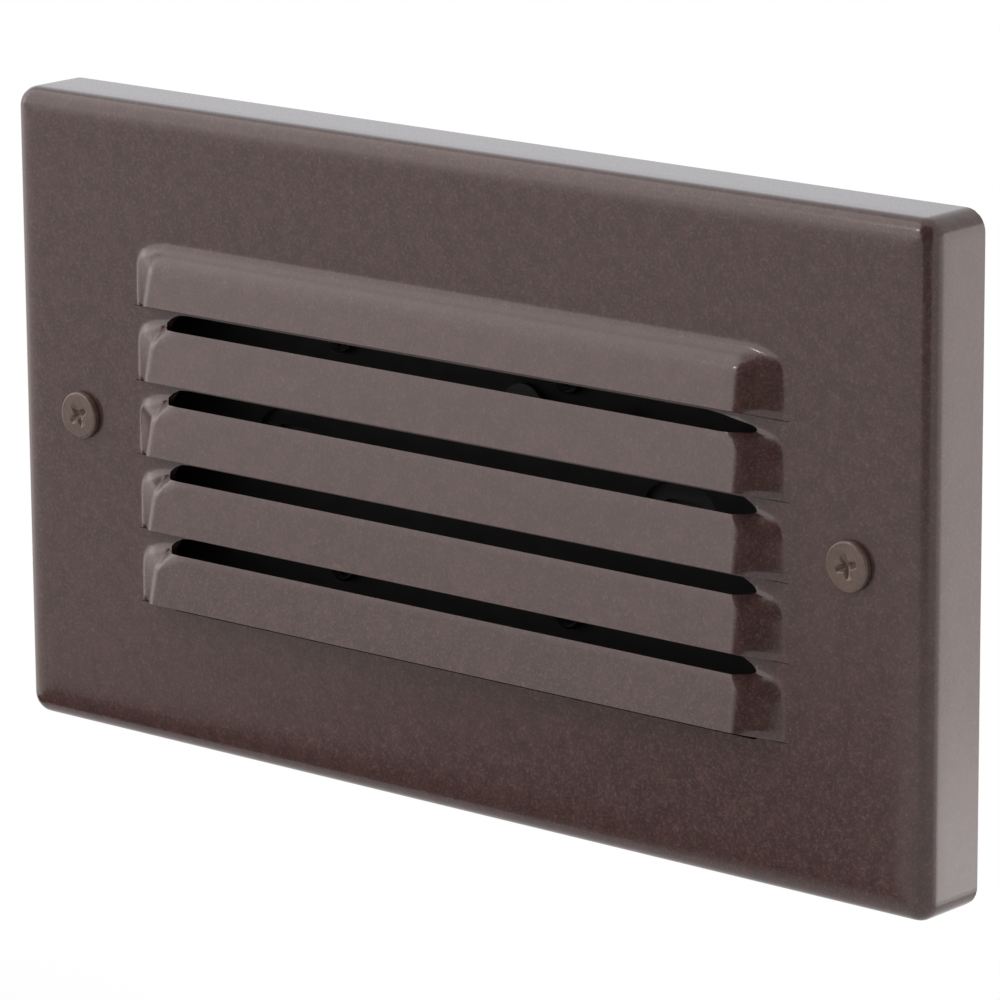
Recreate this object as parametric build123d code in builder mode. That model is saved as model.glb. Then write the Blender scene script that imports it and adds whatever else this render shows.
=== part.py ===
from build123d import *
import os
from math import acos, asin, atan2, cos, degrees, hypot, radians, sin, sqrt, tan

# A louvred step light, standing in its wall as it is used. X is to the right as seen
# from the front, Y goes into the wall and Z is up. The origin is the centre of the
# faceplate in the plane of the wall. All sizes are in millimetres.

os.makedirs("parts", exist_ok=True)

# ---------------------------------------------------------------- driving dimensions
# Faceplate: a drawn pan of sheet steel, open at the back
plate_width = 194.0
plate_height = 110.0
plate_depth = 13.2
plate_sheet = 1.2
plate_bend_radius = 2.5
plate_corner_radius = 5.0

# Louvres, lanced and pushed out of the faceplate
louver_count = 5
louver_pitch = 12.8
louver_block_top = 33.4
louver_side_margin = 27.6
louver_form_height = 12.7
louver_projection = 4.8
louver_lip_rise = 1.45
louver_cap_length = 6.5
louver_foot_radius = 4.7
louver_foot_angle = 35.0
louver_brow_radius = 16.0
louver_shoulder_radius = 6.0
slot_end_margin = 6.6
slot_height = 2.85
last_slot_height = 0.45

# Cover screws, number 8 size, with low flat Phillips heads
cover_screw_inset = 15.0
cover_screw_shank_diameter = 4.0
cover_screw_tip_gap = 0.65
cover_screw_head_diameter = 8.1
cover_screw_head_height = 1.15
cover_screw_head_edge = 0.4
cover_screw_tip_chamfer = 0.6
cover_screw_hole_diameter = 4.6
cover_screw_seat_gap = 0.05
phillips_span = 4.1
phillips_arm = 0.9
phillips_depth = 0.9
left_screw_turn = 35.0
right_screw_turn = 20.0
retaining_washer_diameter = 8.0
retaining_washer_thickness = 0.8
retaining_washer_gap = 0.15

# Wall gasket and mounting frame
gasket_thickness = 2.0
gasket_inset = 0.5
gasket_screw_pilot = 2.0
frame_side_gap = 7.8
frame_end_gap = 2.8
frame_sheet = 1.5
frame_corner_radius = 5.0
box_screw_spacing = 83.3
box_slot_width = 4.2
box_slot_length = 9.0
box_screw_access_width = 9.6
box_screw_access_length = 15.0
ear_hole_diameter = 6.4

# Clip nuts on the ends of the mounting frame
clip_sheet = 0.6
clip_height = 11.0
clip_length = 12.0
clip_barrel_diameter = 6.6
clip_barrel_height = 2.2
clip_bore_diameter = 4.3
clip_relief = 1.0

# Light tray behind the louvres
tray_clip_gap = 0.6
tray_top_margin = 7.0
tray_bottom_margin = 15.0
tray_sheet = 1.0
tray_corner_radius = 4.0
seal_lip = 0.9
seal_grip = 2.4
seal_crown = 0.7
seal_plate_gap = 0.3

# Lamp channel: an extruded section that holds the diode strip and its lens
channel_end_room = 9.0
channel_height = 8.3
channel_front_gap = 0.3
channel_top_gap = 0.1
channel_wall = 0.9
channel_web = 1.5
channel_foot = 6.6
channel_screw_spacing = 50.0
end_cap_thickness = 2.0
end_cap_tenon_length = 2.6
end_cap_tenon_gap = 0.15
thermal_pad_thickness = 0.5
strip_end_gap = 2.0
strip_thickness = 1.0
strip_side_gap = 0.1
diode_pitch = 8.6
diode_end_margin = 5.0
diode_length = 3.5
diode_width = 2.8
diode_height = 0.8
diode_window_radius = 1.1
diode_window_height = 0.1
lens_thickness = 1.2
lens_recess = 1.0
lens_groove_depth = 0.4
lens_gap = 0.05
strip_connector_length = 5.0
strip_connector_width = 3.6
strip_connector_height = 2.6
strip_connector_margin = 1.0
strip_connector_room = 2.0

# Leads from the driver to the diode strip
lead_diameter = 1.3
lead_spacing = 1.6
lead_bend_radius = 1.8
lead_gap = 0.1
lead_hole_gap = 0.2
lead_side_room = 2.4
lead_dip = 5.2
lead_hover = 0.65
lead_ramp = 3.6
lead_clip_length = 4.0
lead_clip_wall = 0.8
lead_clip_insets = (15.4, 38.4)

# Driver module behind the frame, inside the wall box
driver_x = -5.0
driver_width = 56.0
driver_height = 46.0
driver_depth = 34.0
driver_wall = 1.8
driver_corner_radius = 3.0
driver_lid_thickness = 1.5
driver_fit_gap = 1.0
boss_diameter = 6.0
boss_length = 12.0
boss_inset = 3.6
boss_pilot_diameter = 3.0
assembly_screw_diameter = 3.0
assembly_screw_length = 10.0
assembly_screw_head_diameter = 5.6
assembly_screw_head_height = 2.0
assembly_recess_span = 2.8
assembly_recess_arm = 0.7
assembly_recess_depth = 1.2
assembly_recess_turn = 30.0
channel_recess_turn = 10.0
screw_clearance = 0.2
grommet_side_inset = 13.0
grommet_top_inset = 10.5
grommet_neck_diameter = 6.4
grommet_flange_diameter = 9.0
grommet_flange_thickness = 1.2
grommet_bore_diameter = 3.8

# Driver circuit board and the parts on it, placed from the middle of the board
board_thickness = 1.6
board_edge_gap = 0.4
board_standoff = 4.6
board_post_diameter = 5.0
board_screw_diameter = 2.5
board_screw_length = 5.5
board_screw_head_diameter = 4.4
board_screw_head_height = 1.6
board_screw_inset = 3.4
output_connector_length = 7.0
output_connector_width = 6.0
output_connector_height = 6.5
output_connector_drop = 5.0
terminal_place = (-10.0, -8.0)
terminal_length = 17.0
terminal_height = 12.0
terminal_depth = 9.0
terminal_gap = 0.3
terminal_port_diameter = 2.8
terminal_port_depth = 6.0
terminal_port_drop = 2.2
terminal_ports = 3
terminal_pitch = 5.0
terminal_release_width = 2.6
terminal_release_height = 1.2
terminal_release_depth = 1.5
transformer_place = (7.0, -6.0)
transformer_width = 17.0
transformer_depth = 15.0
transformer_height = 15.0
transformer_limb = 3.2
transformer_core_thickness = 4.6
transformer_base_height = 1.6
transformer_winding_diameter = 13.0
electrolytic_places = ((3.5, 9.5), (-8.0, 11.0))
electrolytic_diameter = 8.0
electrolytic_length = 13.0
electrolytic_edge = 0.5
film_capacitor_place = (-14.0, -0.5)
film_capacitor_length = 12.0
film_capacitor_width = 5.5
film_capacitor_height = 10.0
choke_place = (-18.5, 8.0)
choke_diameter = 8.0
choke_height = 9.0
choke_waist_diameter = 6.6
choke_flange_thickness = 1.4
rectifier_place = (-8.0, -10.0)
rectifier_length = 8.5
rectifier_width = 6.4
rectifier_height = 3.2
controller_place = (-3.0, 4.5)
controller_length = 5.0
controller_width = 3.9
controller_height = 1.5
fuse_place = (-18.5, -10.5)
fuse_diameter = 7.6
fuse_height = 7.0
part_edge = 0.4

# Ground screw on the mounting frame
ground_screw_side_gap = 7.5
ground_screw_drop = 14.5
ground_screw_diameter = 4.8
ground_screw_reach = 2.2
ground_screw_washer_diameter = 8.6
ground_screw_washer_thickness = 0.8
ground_screw_head_across_flats = 6.4
ground_screw_head_height = 2.6
ground_screw_slot = 1.0
ground_screw_clearance = 0.6

# ---------------------------------------------------------------- levels that follow
plate_front_y = -plate_depth
plate_inner_y = plate_front_y + plate_sheet
louver_width = plate_width - 2 * louver_side_margin
slot_width = louver_width - 2 * slot_end_margin
lance_heights = [louver_block_top - louver_form_height - n * louver_pitch for n in range(louver_count)]

cover_screw_x = plate_width / 2 - cover_screw_inset
cover_screw_seat_y = plate_front_y - cover_screw_seat_gap
cover_screw_shank_length = -cover_screw_tip_gap - cover_screw_seat_y

frame_width = plate_width - 2 * plate_sheet - 2 * frame_side_gap
frame_height = plate_height - 2 * plate_sheet - 2 * frame_end_gap
frame_back_y = -gasket_thickness
frame_front_y = frame_back_y - frame_sheet
clip_middle_x = frame_width / 2 + clip_sheet - clip_length / 2
box_screw_x = box_screw_spacing / 2

tray_width = 2 * (clip_middle_x - clip_length / 2 - tray_clip_gap)
tray_top = plate_height / 2 - tray_top_margin
tray_bottom = tray_bottom_margin - plate_height / 2
tray_height = tray_top - tray_bottom
tray_middle_z = (tray_top + tray_bottom) / 2
tray_floor_y = frame_front_y - tray_sheet
tray_rim_y = plate_inner_y + seal_plate_gap + seal_crown

channel_length = tray_width - 2 * tray_sheet - 2 * channel_end_room
channel_front_y = tray_rim_y + channel_front_gap
channel_middle_y = (channel_front_y + tray_floor_y) / 2
channel_depth = tray_floor_y - channel_front_y
channel_inside = channel_depth - 2 * channel_wall
channel_top_z = tray_top - tray_sheet - seal_lip - channel_top_gap
channel_bottom_z = channel_top_z - channel_height
channel_screw_z = channel_bottom_z - channel_foot / 2
channel_screw_places = [(n * channel_screw_spacing, channel_screw_z) for n in (-1, 0, 1)]
channel_seat_y = tray_floor_y - channel_wall
lens_bottom_z = channel_bottom_z + lens_recess
lens_top_z = lens_bottom_z + lens_thickness
strip_top_z = channel_top_z - channel_web - thermal_pad_thickness
strip_bottom_z = strip_top_z - strip_thickness
strip_length = channel_length - 2 * strip_end_gap
strip_width = channel_inside - 2 * strip_side_gap
strip_connector_x = (strip_length - strip_connector_length) / 2 - strip_connector_margin
diode_stretch = strip_length - strip_connector_length - strip_connector_margin - strip_connector_room
diode_row_x = (diode_stretch - strip_length) / 2
diode_count = 1 + int((diode_stretch - 2 * diode_end_margin - diode_length) // diode_pitch)

driver_right_x = driver_x + driver_width / 2
lid_back_y = frame_back_y + driver_lid_thickness
case_back_y = frame_back_y + driver_depth
case_inner_width = driver_width - 2 * driver_wall
case_inner_height = driver_height - 2 * driver_wall
boss_x = driver_width / 2 - boss_inset
boss_z = driver_height / 2 - boss_inset
boss_places = [(driver_x + side * boss_x, level * boss_z) for side in (-1, 1) for level in (-1, 1)]
board_back_y = case_back_y - driver_wall - board_standoff
board_front_y = board_back_y - board_thickness
board_width = case_inner_width - 2 * board_edge_gap
board_height = case_inner_height - 2 * board_edge_gap
board_screw_x = board_width / 2 - board_screw_inset
board_screw_z = board_height / 2 - board_screw_inset
board_screw_places = [
    (driver_x + side * board_screw_x, level * board_screw_z) for side in (-1, 1) for level in (-1, 1)
]
grommet_place = (driver_right_x - grommet_side_inset, driver_height / 2 - grommet_top_inset)
output_connector_place = (grommet_place[0], grommet_place[1] - output_connector_drop)
ground_screw_place = (driver_right_x + ground_screw_side_gap, -ground_screw_drop)

lead_exit_x = strip_connector_x + strip_connector_length / 2
lead_exit_z = strip_bottom_z - strip_connector_height / 2
lead_corner_x = channel_length / 2 + end_cap_thickness + lead_side_room
lead_ramp_x = grommet_place[0] + grommet_flange_diameter / 2
lead_floor_y = tray_floor_y - lead_gap - lead_diameter / 2
lead_hover_y = tray_floor_y - grommet_flange_thickness - lead_hover - lead_diameter / 2
lead_end_y = board_front_y - output_connector_height
lead_bend_y = lead_end_y - 2 * lead_bend_radius
lead_inside_y = lid_back_y + grommet_flange_thickness + lead_bend_radius
lead_clip_places = [(lead_corner_x - inset, grommet_place[1]) for inset in lead_clip_insets]


def wall_plane(y):
    """Plane parallel to the wall at depth y, facing out of the wall."""
    return Plane.XZ.offset(-y)


def on_board(place):
    """Place on the wall planes of a spot given from the middle of the circuit board."""
    return (driver_x + place[0], place[1])


def keep(piece, name):
    """Label a finished piece and write it under its name."""
    piece.part.label = name
    export_step(piece.part, f"parts/{name}.step")


# ---------------------------------------------------------------- faceplate
def louver_form(skin, back, end_z):
    """Solid that fills a louvre up to its skin, with the lance line at z 0 and the plate's face at y 0.

    Its section leaves the plate by a hollow foot, turns over a round brow and runs straight
    down the blade to the lip. skin is the distance under the outside, back how far the solid
    goes into the plate, and end_z the height at which the blade ends.
    """
    foot_angle = radians(louver_foot_angle)
    reach = louver_foot_radius + louver_brow_radius
    brow_y = reach * cos(foot_angle) - louver_foot_radius
    brow_z = louver_form_height - reach * sin(foot_angle)
    run = brow_y + louver_projection
    rise = brow_z - louver_lip_rise
    blade_angle = acos(louver_brow_radius / hypot(run, rise)) - atan2(rise, run)
    foot_radius = louver_foot_radius + skin
    brow_radius = louver_brow_radius - skin
    blade_y = brow_y - brow_radius * cos(blade_angle)
    blade_z = brow_z + brow_radius * sin(blade_angle)
    end_y = blade_y - (blade_z - end_z) * tan(blade_angle)
    cap_radius = (louver_cap_length**2 + louver_projection**2) / (2 * louver_projection)
    cap_x = louver_width / 2 - louver_cap_length
    cap_y = cap_radius - louver_projection
    skin_radius = cap_radius - skin
    base_x = cap_x + sqrt(skin_radius**2 - cap_y**2)
    cap_turn = 90 - degrees(asin(cap_y / skin_radius))
    with BuildPart() as form:
        with BuildSketch(Plane.YZ):
            with BuildLine():
                CenterArc((-louver_foot_radius, louver_form_height), foot_radius, 0, -louver_foot_angle)
                CenterArc(
                    (brow_y, brow_z), brow_radius, 180 - louver_foot_angle, louver_foot_angle - degrees(blade_angle)
                )
                Line((blade_y, blade_z), (end_y, end_z))
                Polyline((end_y, end_z), (0, 0), (back, 0), (back, louver_form_height))
                Line((back, louver_form_height), (skin, louver_form_height))
            make_face()
        extrude(amount=louver_width, both=True)
        with BuildSketch(Plane.XY):
            with BuildLine():
                Line((0, cap_y - skin_radius), (cap_x, cap_y - skin_radius))
                CenterArc((cap_x, cap_y), skin_radius, -90, cap_turn)
                Polyline((base_x, 0), (base_x, back), (0, back))
                mirror(about=Plane.YZ)
            make_face()
        extrude(amount=louver_form_height + louver_pitch, both=True, mode=Mode.INTERSECT)
        with BuildSketch(Plane.XZ) as outline:
            Rectangle(2 * base_x, 2 * louver_form_height)
            fillet(outline.vertices().group_by(Axis.Y)[-1], louver_shoulder_radius - skin)
        extrude(amount=2 * louver_projection, both=True, mode=Mode.INTERSECT)
    return form.part


with BuildPart() as pan_hollow:
    with BuildSketch(Plane.XZ):
        RectangleRounded(
            plate_width - 2 * plate_sheet, plate_height - 2 * plate_sheet, plate_corner_radius - plate_sheet
        )
    extrude(amount=plate_depth - plate_sheet)
    fillet(pan_hollow.faces().sort_by(Axis.Y)[0].edges(), plate_bend_radius - plate_sheet)

louver_outside = louver_form(0, plate_sheet / 2, louver_lip_rise)
louver_inside = louver_form(plate_sheet, 2 * plate_sheet, -louver_lip_rise)

with BuildPart() as faceplate:
    with BuildSketch(Plane.XZ):
        RectangleRounded(plate_width, plate_height, plate_corner_radius)
    extrude(amount=plate_depth)
    fillet(faceplate.faces().sort_by(Axis.Y)[0].edges(), plate_bend_radius)
    add(pan_hollow.part, mode=Mode.SUBTRACT)
    with Locations(*[(0, plate_front_y, z) for z in lance_heights]):
        add(louver_outside)
    with Locations(*[(0, plate_front_y, z) for z in lance_heights]):
        add(louver_inside, mode=Mode.SUBTRACT)
    with BuildSketch(wall_plane(plate_inner_y + plate_sheet)):
        with Locations(*[(0, z - slot_height / 2) for z in lance_heights[:-1]]):
            SlotOverall(slot_width, slot_height)
        with Locations((0, lance_heights[-1] - last_slot_height / 2)):
            SlotOverall(slot_width, last_slot_height)
        with Locations((-cover_screw_x, 0), (cover_screw_x, 0)):
            Circle(cover_screw_hole_diameter / 2)
    extrude(amount=4 * plate_sheet, mode=Mode.SUBTRACT)
keep(faceplate, "faceplate")


# ---------------------------------------------------------------- cover screws and their retaining washers
cover_screw_settings = (("left", -cover_screw_x, left_screw_turn), ("right", cover_screw_x, right_screw_turn))
for side, screw_x, turn in cover_screw_settings:
    with BuildPart() as cover_screw:
        with BuildSketch(wall_plane(cover_screw_seat_y)):
            with Locations((screw_x, 0)):
                Circle(cover_screw_head_diameter / 2)
        extrude(amount=cover_screw_head_height)
        fillet(cover_screw.faces().sort_by(Axis.Y)[0].edges(), cover_screw_head_edge)
        with BuildSketch(wall_plane(cover_screw_seat_y + cover_screw_shank_length)):
            with Locations((screw_x, 0)):
                Circle(cover_screw_shank_diameter / 2)
        extrude(amount=cover_screw_shank_length)
        chamfer(cover_screw.faces().sort_by(Axis.Y)[-1].edges(), cover_screw_tip_chamfer)
        with BuildSketch(wall_plane(cover_screw_seat_y - cover_screw_head_height)):
            with Locations((screw_x, 0)):
                Rectangle(phillips_span, phillips_arm, rotation=turn)
                Rectangle(phillips_arm, phillips_span, rotation=turn)
                Circle(phillips_arm)
        extrude(amount=-phillips_depth, mode=Mode.SUBTRACT)
    keep(cover_screw, f"{side}_cover_screw")

    with BuildPart() as retaining_washer:
        with BuildSketch(wall_plane(plate_inner_y + retaining_washer_gap + retaining_washer_thickness)):
            with Locations((screw_x, 0)):
                Circle(retaining_washer_diameter / 2)
                Circle(cover_screw_shank_diameter / 2, mode=Mode.SUBTRACT)
        extrude(amount=retaining_washer_thickness)
    keep(retaining_washer, f"{side}_retaining_washer")


# ---------------------------------------------------------------- wall gasket and mounting frame
with BuildPart() as wall_gasket:
    with BuildSketch(wall_plane(0)):
        RectangleRounded(
            frame_width - 2 * gasket_inset, frame_height - 2 * gasket_inset, frame_corner_radius - gasket_inset
        )
        with Locations((driver_x, 0)):
            Rectangle(driver_width + 2 * driver_fit_gap, driver_height + 2 * driver_fit_gap, mode=Mode.SUBTRACT)
        with Locations((-box_screw_x, 0), (box_screw_x, 0)):
            Circle(gasket_screw_pilot / 2, mode=Mode.SUBTRACT)
        with Locations(ground_screw_place):
            Circle(ground_screw_washer_diameter / 2 + ground_screw_clearance, mode=Mode.SUBTRACT)
        with Locations((-clip_middle_x, 0), (clip_middle_x, 0)):
            Rectangle(clip_length + 2 * clip_relief, clip_height + 2 * clip_relief, mode=Mode.SUBTRACT)
    extrude(amount=gasket_thickness)
keep(wall_gasket, "wall_gasket")

with BuildPart() as mounting_frame:
    with BuildSketch(wall_plane(frame_back_y)):
        RectangleRounded(frame_width, frame_height, frame_corner_radius)
        with Locations((-cover_screw_x, 0), (cover_screw_x, 0)):
            Circle(ear_hole_diameter / 2, mode=Mode.SUBTRACT)
        with Locations((-box_screw_x, 0), (box_screw_x, 0)):
            SlotOverall(box_slot_length, box_slot_width, mode=Mode.SUBTRACT)
        with Locations(*boss_places):
            Circle(assembly_screw_diameter / 2 + screw_clearance, mode=Mode.SUBTRACT)
        with Locations(*channel_screw_places):
            Circle(assembly_screw_diameter / 2, mode=Mode.SUBTRACT)
        with Locations(grommet_place):
            Circle(grommet_neck_diameter / 2, mode=Mode.SUBTRACT)
        with Locations(ground_screw_place):
            Circle(ground_screw_diameter / 2, mode=Mode.SUBTRACT)
    extrude(amount=frame_sheet)
keep(mounting_frame, "mounting_frame")

with BuildPart() as cover_clip_nuts:
    with BuildSketch(Plane.XY):
        with Locations((clip_middle_x, (frame_back_y + frame_front_y) / 2)):
            Rectangle(clip_length, frame_sheet + 2 * clip_sheet)
        with Locations((clip_middle_x - clip_sheet, (frame_back_y + frame_front_y) / 2)):
            Rectangle(clip_length, frame_sheet, mode=Mode.SUBTRACT)
    extrude(amount=clip_height / 2, both=True)
    with BuildSketch(wall_plane(frame_front_y - clip_sheet)):
        with Locations((cover_screw_x, 0)):
            Circle(clip_barrel_diameter / 2)
    extrude(amount=clip_barrel_height)
    with BuildSketch(wall_plane(frame_back_y + clip_sheet)):
        with Locations((cover_screw_x, 0)):
            Circle(clip_bore_diameter / 2)
    extrude(amount=frame_sheet + 2 * clip_sheet + clip_barrel_height, mode=Mode.SUBTRACT)
    mirror(about=Plane.YZ)
keep(cover_clip_nuts, "cover_clip_nuts")

with BuildPart() as ground_screw:
    with BuildSketch(wall_plane(frame_back_y)):
        with Locations(ground_screw_place):
            Circle(ground_screw_diameter / 2)
    extrude(amount=frame_sheet + tray_sheet + ground_screw_reach)
    with BuildSketch(wall_plane(frame_back_y + ground_screw_washer_thickness)):
        with Locations(ground_screw_place):
            Circle(ground_screw_washer_diameter / 2)
    extrude(amount=ground_screw_washer_thickness)
    with BuildSketch(wall_plane(frame_back_y + ground_screw_washer_thickness + ground_screw_head_height)):
        with Locations(ground_screw_place):
            RegularPolygon(ground_screw_head_across_flats / 2, 6, major_radius=False)
    extrude(amount=ground_screw_head_height)
    with BuildSketch(wall_plane(frame_back_y + ground_screw_washer_thickness + ground_screw_head_height)):
        with Locations(ground_screw_place):
            Rectangle(ground_screw_washer_diameter, ground_screw_slot)
    extrude(amount=ground_screw_slot, mode=Mode.SUBTRACT)
keep(ground_screw, "ground_screw")


# ---------------------------------------------------------------- light tray and its edge seal
with BuildPart() as light_tray:
    with BuildSketch(wall_plane(frame_front_y)):
        with Locations((0, tray_middle_z)):
            RectangleRounded(tray_width, tray_height, tray_corner_radius)
    extrude(amount=frame_front_y - tray_rim_y)
    with BuildSketch(wall_plane(tray_floor_y)):
        with Locations((0, tray_middle_z)):
            RectangleRounded(
                tray_width - 2 * tray_sheet, tray_height - 2 * tray_sheet, tray_corner_radius - tray_sheet
            )
    extrude(amount=tray_floor_y - tray_rim_y, mode=Mode.SUBTRACT)
    with BuildSketch(wall_plane(frame_front_y)):
        with Locations((-box_screw_x, 0), (box_screw_x, 0)):
            SlotOverall(box_screw_access_length, box_screw_access_width)
        with Locations(*boss_places, *channel_screw_places):
            Circle(assembly_screw_diameter / 2 + screw_clearance)
        with Locations(grommet_place):
            Circle(grommet_neck_diameter / 2)
        with Locations(ground_screw_place):
            Circle(ground_screw_diameter / 2 + ground_screw_clearance)
    extrude(amount=2 * tray_sheet, mode=Mode.SUBTRACT)
keep(light_tray, "light_tray")

with BuildPart() as tray_seal:
    with BuildSketch(wall_plane(tray_rim_y + seal_grip)):
        with Locations((0, tray_middle_z)):
            RectangleRounded(
                tray_width + 2 * seal_lip, tray_height + 2 * seal_lip, tray_corner_radius + seal_lip
            )
            RectangleRounded(
                tray_width - 2 * tray_sheet - 2 * seal_lip,
                tray_height - 2 * tray_sheet - 2 * seal_lip,
                tray_corner_radius - tray_sheet - seal_lip,
                mode=Mode.SUBTRACT,
            )
    extrude(amount=seal_grip + seal_crown)
    with BuildSketch(wall_plane(tray_rim_y + seal_grip)):
        with Locations((0, tray_middle_z)):
            RectangleRounded(tray_width, tray_height, tray_corner_radius)
            RectangleRounded(
                tray_width - 2 * tray_sheet,
                tray_height - 2 * tray_sheet,
                tray_corner_radius - tray_sheet,
                mode=Mode.SUBTRACT,
            )
    extrude(amount=seal_grip, mode=Mode.SUBTRACT)
keep(tray_seal, "tray_seal")


# ---------------------------------------------------------------- lamp channel, diode strip and lens
with BuildPart() as lamp_channel:
    with BuildSketch(Plane.YZ):
        with Locations((channel_middle_y, channel_top_z - channel_height / 2)):
            Rectangle(channel_depth, channel_height)
        with Locations((tray_floor_y - channel_wall / 2, channel_screw_z)):
            Rectangle(channel_wall, channel_foot)
        with Locations((channel_middle_y, channel_top_z - (channel_web + channel_height) / 2)):
            Rectangle(channel_inside, channel_height - channel_web, mode=Mode.SUBTRACT)
        with Locations((channel_middle_y, (lens_bottom_z + lens_top_z) / 2)):
            Rectangle(channel_inside + 2 * lens_groove_depth, lens_thickness + 2 * lens_gap, mode=Mode.SUBTRACT)
    extrude(amount=channel_length / 2, both=True)
    with BuildSketch(wall_plane(tray_floor_y)):
        with Locations(*channel_screw_places):
            Circle(assembly_screw_diameter / 2 + screw_clearance)
    extrude(amount=2 * channel_wall, mode=Mode.SUBTRACT)
keep(lamp_channel, "lamp_channel")

with BuildPart() as channel_end_caps:
    with BuildSketch(Plane.YZ.offset(channel_length / 2)):
        with Locations((channel_middle_y, channel_top_z - channel_height / 2)):
            Rectangle(channel_depth, channel_height)
    extrude(amount=end_cap_thickness)
    with BuildSketch(Plane.YZ.offset(channel_length / 2 - end_cap_tenon_length)):
        with Locations((channel_middle_y, (lens_top_z + strip_bottom_z) / 2)):
            Rectangle(
                channel_inside - 2 * end_cap_tenon_gap, strip_bottom_z - lens_top_z - 2 * end_cap_tenon_gap
            )
    extrude(amount=end_cap_tenon_length)
    with BuildSketch(Plane.YZ.offset(channel_length / 2 + end_cap_thickness)):
        with Locations((channel_middle_y, lead_exit_z)):
            SlotOverall(lead_spacing + lead_diameter + 2 * lead_hole_gap, lead_diameter + 2 * lead_hole_gap)
    extrude(amount=-end_cap_thickness - end_cap_tenon_length, mode=Mode.SUBTRACT)
    mirror(about=Plane.YZ)
keep(channel_end_caps, "channel_end_caps")

with BuildPart() as thermal_pad:
    with BuildSketch(Plane.XY.offset(strip_top_z)):
        with Locations((0, channel_middle_y)):
            Rectangle(strip_length, strip_width)
    extrude(amount=thermal_pad_thickness)
keep(thermal_pad, "thermal_pad")

with BuildPart() as led_strip_board:
    with BuildSketch(Plane.XY.offset(strip_bottom_z)):
        with Locations((0, channel_middle_y)):
            Rectangle(strip_length, strip_width)
    extrude(amount=strip_thickness)
keep(led_strip_board, "led_strip_board")

with BuildPart() as led_chips:
    with BuildSketch(Plane.XY.offset(strip_bottom_z)):
        with Locations((diode_row_x, channel_middle_y)):
            with GridLocations(diode_pitch, diode_pitch, diode_count, 1):
                Rectangle(diode_length, diode_width)
    extrude(amount=-diode_height)
    with BuildSketch(Plane.XY.offset(strip_bottom_z - diode_height)):
        with Locations((diode_row_x, channel_middle_y)):
            with GridLocations(diode_pitch, diode_pitch, diode_count, 1):
                Circle(diode_window_radius)
    extrude(amount=-diode_window_height)
keep(led_chips, "led_chips")

with BuildPart() as strip_connector:
    with BuildSketch(Plane.XY.offset(strip_bottom_z)):
        with Locations((strip_connector_x, channel_middle_y)):
            Rectangle(strip_connector_length, strip_connector_width)
    extrude(amount=-strip_connector_height)
    fillet(strip_connector.edges().filter_by(Axis.Z), part_edge)
keep(strip_connector, "strip_connector")

with BuildPart() as lens:
    with BuildSketch(Plane.XY.offset(lens_bottom_z)):
        with Locations((0, channel_middle_y)):
            Rectangle(channel_length, channel_inside + 2 * lens_groove_depth - 2 * lens_gap)
    extrude(amount=lens_thickness)
keep(lens, "lens")


# ---------------------------------------------------------------- screws that hold the lamp together
def pan_head_screws(places, seat_y, length, recess_turn):
    """Cross-recessed pan head screws seated on the plane seat_y at each place."""
    with BuildPart() as screws:
        with BuildSketch(wall_plane(seat_y + length)):
            with Locations(*places):
                Circle(assembly_screw_diameter / 2)
        extrude(amount=length)
        with BuildSketch(wall_plane(seat_y)):
            with Locations(*places):
                Circle(assembly_screw_head_diameter / 2)
        extrude(amount=assembly_screw_head_height)
        head_tops = screws.faces().filter_by(Axis.Y).group_by(Axis.Y)[0]
        fillet(head_tops.edges(), assembly_screw_head_height / 2)
        with BuildSketch(wall_plane(seat_y - assembly_screw_head_height)):
            with Locations(*places):
                Rectangle(assembly_recess_span, assembly_recess_arm, rotation=recess_turn)
                Rectangle(assembly_recess_arm, assembly_recess_span, rotation=recess_turn)
        extrude(amount=-assembly_recess_depth, mode=Mode.SUBTRACT)
    return screws


assembly_screws = pan_head_screws(boss_places, tray_floor_y, assembly_screw_length, assembly_recess_turn)
keep(assembly_screws, "assembly_screws")

channel_screws = pan_head_screws(
    channel_screw_places, channel_seat_y, frame_back_y - channel_seat_y, channel_recess_turn
)
keep(channel_screws, "channel_screws")


# ---------------------------------------------------------------- driver case and lid
with BuildPart() as driver_lid:
    with BuildSketch(wall_plane(lid_back_y)):
        with Locations((driver_x, 0)):
            RectangleRounded(driver_width, driver_height, driver_corner_radius)
        with Locations(*boss_places):
            Circle(assembly_screw_diameter / 2 + screw_clearance, mode=Mode.SUBTRACT)
        with Locations(grommet_place):
            Circle(grommet_neck_diameter / 2, mode=Mode.SUBTRACT)
    extrude(amount=driver_lid_thickness)
keep(driver_lid, "driver_lid")

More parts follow.
